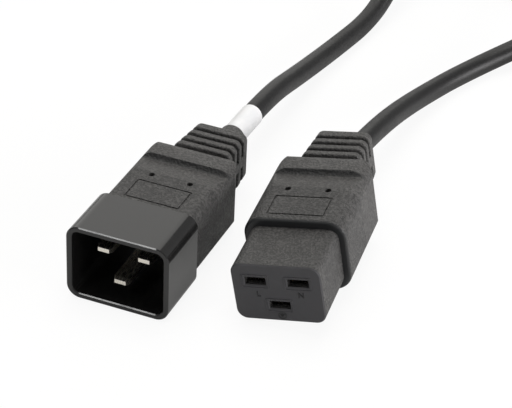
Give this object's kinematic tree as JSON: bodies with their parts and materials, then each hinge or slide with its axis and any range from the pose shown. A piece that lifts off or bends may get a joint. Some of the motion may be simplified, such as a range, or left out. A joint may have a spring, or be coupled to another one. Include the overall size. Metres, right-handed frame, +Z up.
{
  "type": "power cord",
  "caption": "Black jumper power cord: a shrouded three-pin plug and a three-slot connector, with ribbed strain reliefs, on one round coiled cord.",
  "frame": {"origin": "on the floor under the middle of the two connectors' box, without the cord", "axes": "+Z up, -Y the way the plug and the connector face, +X from the plug to the connector"},
  "size_m": [0.1085, 0.3393, 0.0285],
  "materials": {
    "gloss_moulding": "glossy smooth moulding",
    "insert_moulding": "smooth face, finely grained sides",
    "overmould": "soft matte, finely grained",
    "inner_moulding": "plain moulding, unseen",
    "cord_jacket": "satin",
    "label": "clear-coated white film",
    "tie_strap": "woven hook-and-loop strap",
    "pin_metal": "bright nickel plate",
    "copper": "bare stranded copper",
    "core_brown": "core insulation",
    "core_blue": "core insulation",
    "core_green": "core insulation"
  },
  "bodies": {
    "root": {"plug_shroud": "gloss_moulding", "plug_pin_line": "pin_metal", "plug_pin_neutral": "pin_metal", "plug_pin_earth": "pin_metal", "plug_strands_line": "copper", "plug_strands_neutral": "copper", "plug_strands_earth": "copper", "plug_core_line": "core_brown", "plug_core_neutral": "core_blue", "plug_core_earth": "core_green", "plug_inner_mould": "inner_moulding", "plug_jacket_end": "cord_jacket", "plug_body": "overmould", "socket_insert": "insert_moulding", "socket_contact_line": "pin_metal", "socket_contact_neutral": "pin_metal", "socket_contact_earth": "pin_metal", "socket_strands_line": "copper", "socket_strands_neutral": "copper", "socket_strands_earth": "copper", "socket_core_line": "core_brown", "socket_core_neutral": "core_blue", "socket_core_earth": "core_green", "socket_inner_mould": "inner_moulding", "socket_jacket_end": "cord_jacket", "socket_body": "overmould", "cord_plug_side": "cord_jacket", "cord_socket_side": "cord_jacket", "cord_coil": "cord_jacket", "cord_label": "label", "coil_tie": "tie_strap"}
  },
  "joints": []
}
